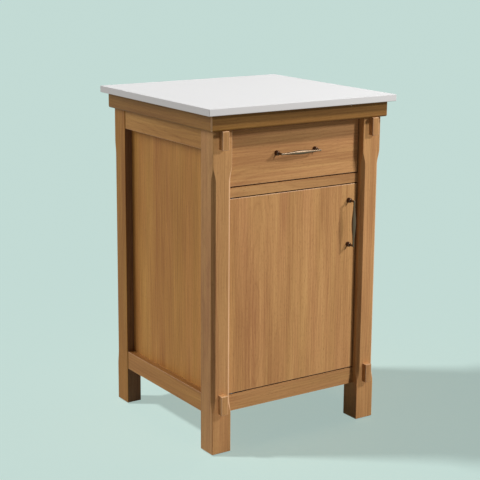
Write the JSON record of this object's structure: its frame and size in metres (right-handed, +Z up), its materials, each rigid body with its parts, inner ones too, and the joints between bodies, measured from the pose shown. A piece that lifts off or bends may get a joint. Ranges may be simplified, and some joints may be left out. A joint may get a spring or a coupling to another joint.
{
  "type": "bathroom vanity unit",
  "caption": "Oak bathroom vanity base on four legs with a stone top, a drawer over a pivoting door, a mitred cornice and bar pulls.",
  "frame": {"origin": "on the floor, under the middle of the stone top's footprint", "axes": "+Z up, -Y the side with the door and the drawer, +X to the right seen from the front"},
  "size_m": [0.59, 0.57, 0.914],
  "materials": {
    "oak": "satin lacquer",
    "quartz": "polished engineered stone",
    "birch_ply": "clear lacquer",
    "zinc_steel": "zinc plated",
    "dark_pewter": "satin antique metal",
    "nylon": "moulded"
  },
  "bodies": {
    "case": {"countertop": "quartz", "cornice_front": "oak", "cornice_back": "oak", "cornice_left": "oak", "cornice_right": "oak", "front_left_leg": "oak", "front_right_leg": "oak", "rear_left_leg": "oak", "rear_right_leg": "oak", "upper_blocks": "oak", "lower_blocks": "oak", "foot_glides": "nylon", "leg_dowels": "birch_ply", "left_top_rail": "oak", "left_lower_rail": "oak", "left_panel": "oak", "right_top_rail": "oak", "right_lower_rail": "oak", "right_panel": "oak", "back_top_rail": "oak", "back_lower_rail": "oak", "back_panel": "birch_ply", "mid_rail": "oak", "bottom_rail": "oak", "cabinet_floor": "birch_ply", "shelf": "birch_ply", "shelf_cleats": "birch_ply", "cornice_cleats": "birch_ply", "cleat_screws": "zinc_steel", "left_runner": "birch_ply", "right_runner": "birch_ply", "left_slide_outer": "zinc_steel", "right_slide_outer": "zinc_steel", "slide_case_screw_set": "zinc_steel", "pivot_plates": "zinc_steel", "pivot_plate_screws": "zinc_steel", "magnet_catch": "nylon", "catch_screws": "zinc_steel"},
    "left_slide_carriage": {"left_slide_middle": "zinc_steel", "left_slide_balls": "zinc_steel"},
    "right_slide_carriage": {"right_slide_middle": "zinc_steel", "right_slide_balls": "zinc_steel"},
    "drawer": {"drawer_front": "oak", "drawer_box_front": "birch_ply", "drawer_box_back": "birch_ply", "drawer_left_side": "birch_ply", "drawer_right_side": "birch_ply", "drawer_bottom": "birch_ply", "left_slide_inner": "zinc_steel", "right_slide_inner": "zinc_steel", "slide_box_screw_set": "zinc_steel", "drawer_front_screws": "zinc_steel", "drawer_pull": "dark_pewter", "drawer_pull_screws": "zinc_steel"},
    "door_leaf": {"door": "oak", "pivot_leaves": "zinc_steel", "door_screws": "zinc_steel", "strike_plate": "zinc_steel", "door_pull": "dark_pewter", "door_pull_screws": "zinc_steel"}
  },
  "joints": [
    {"name": "drawer_slide", "type": "slide", "parent": "case", "child": "drawer", "axis": [0, -1, 0], "range_m": [0, 0.34]},
    {"name": "left_carriage_slide", "type": "slide", "parent": "case", "child": "left_slide_carriage", "axis": [0, -1, 0], "range_m": [0, 0.17]},
    {"name": "right_carriage_slide", "type": "slide", "parent": "case", "child": "right_slide_carriage", "axis": [0, -1, 0], "range_m": [0, 0.17]},
    {"name": "door_hinge", "type": "hinge", "parent": "case", "child": "door_leaf", "pos_m": [-0.193, -0.229, 0.414], "axis": [0, 0, -1], "range_deg": [0, 100]}
  ],
  "couplings": [
    {"joint": "left_carriage_slide", "follows": "drawer_slide", "ratio": 0.5},
    {"joint": "right_carriage_slide", "follows": "drawer_slide", "ratio": 0.5}
  ]
}
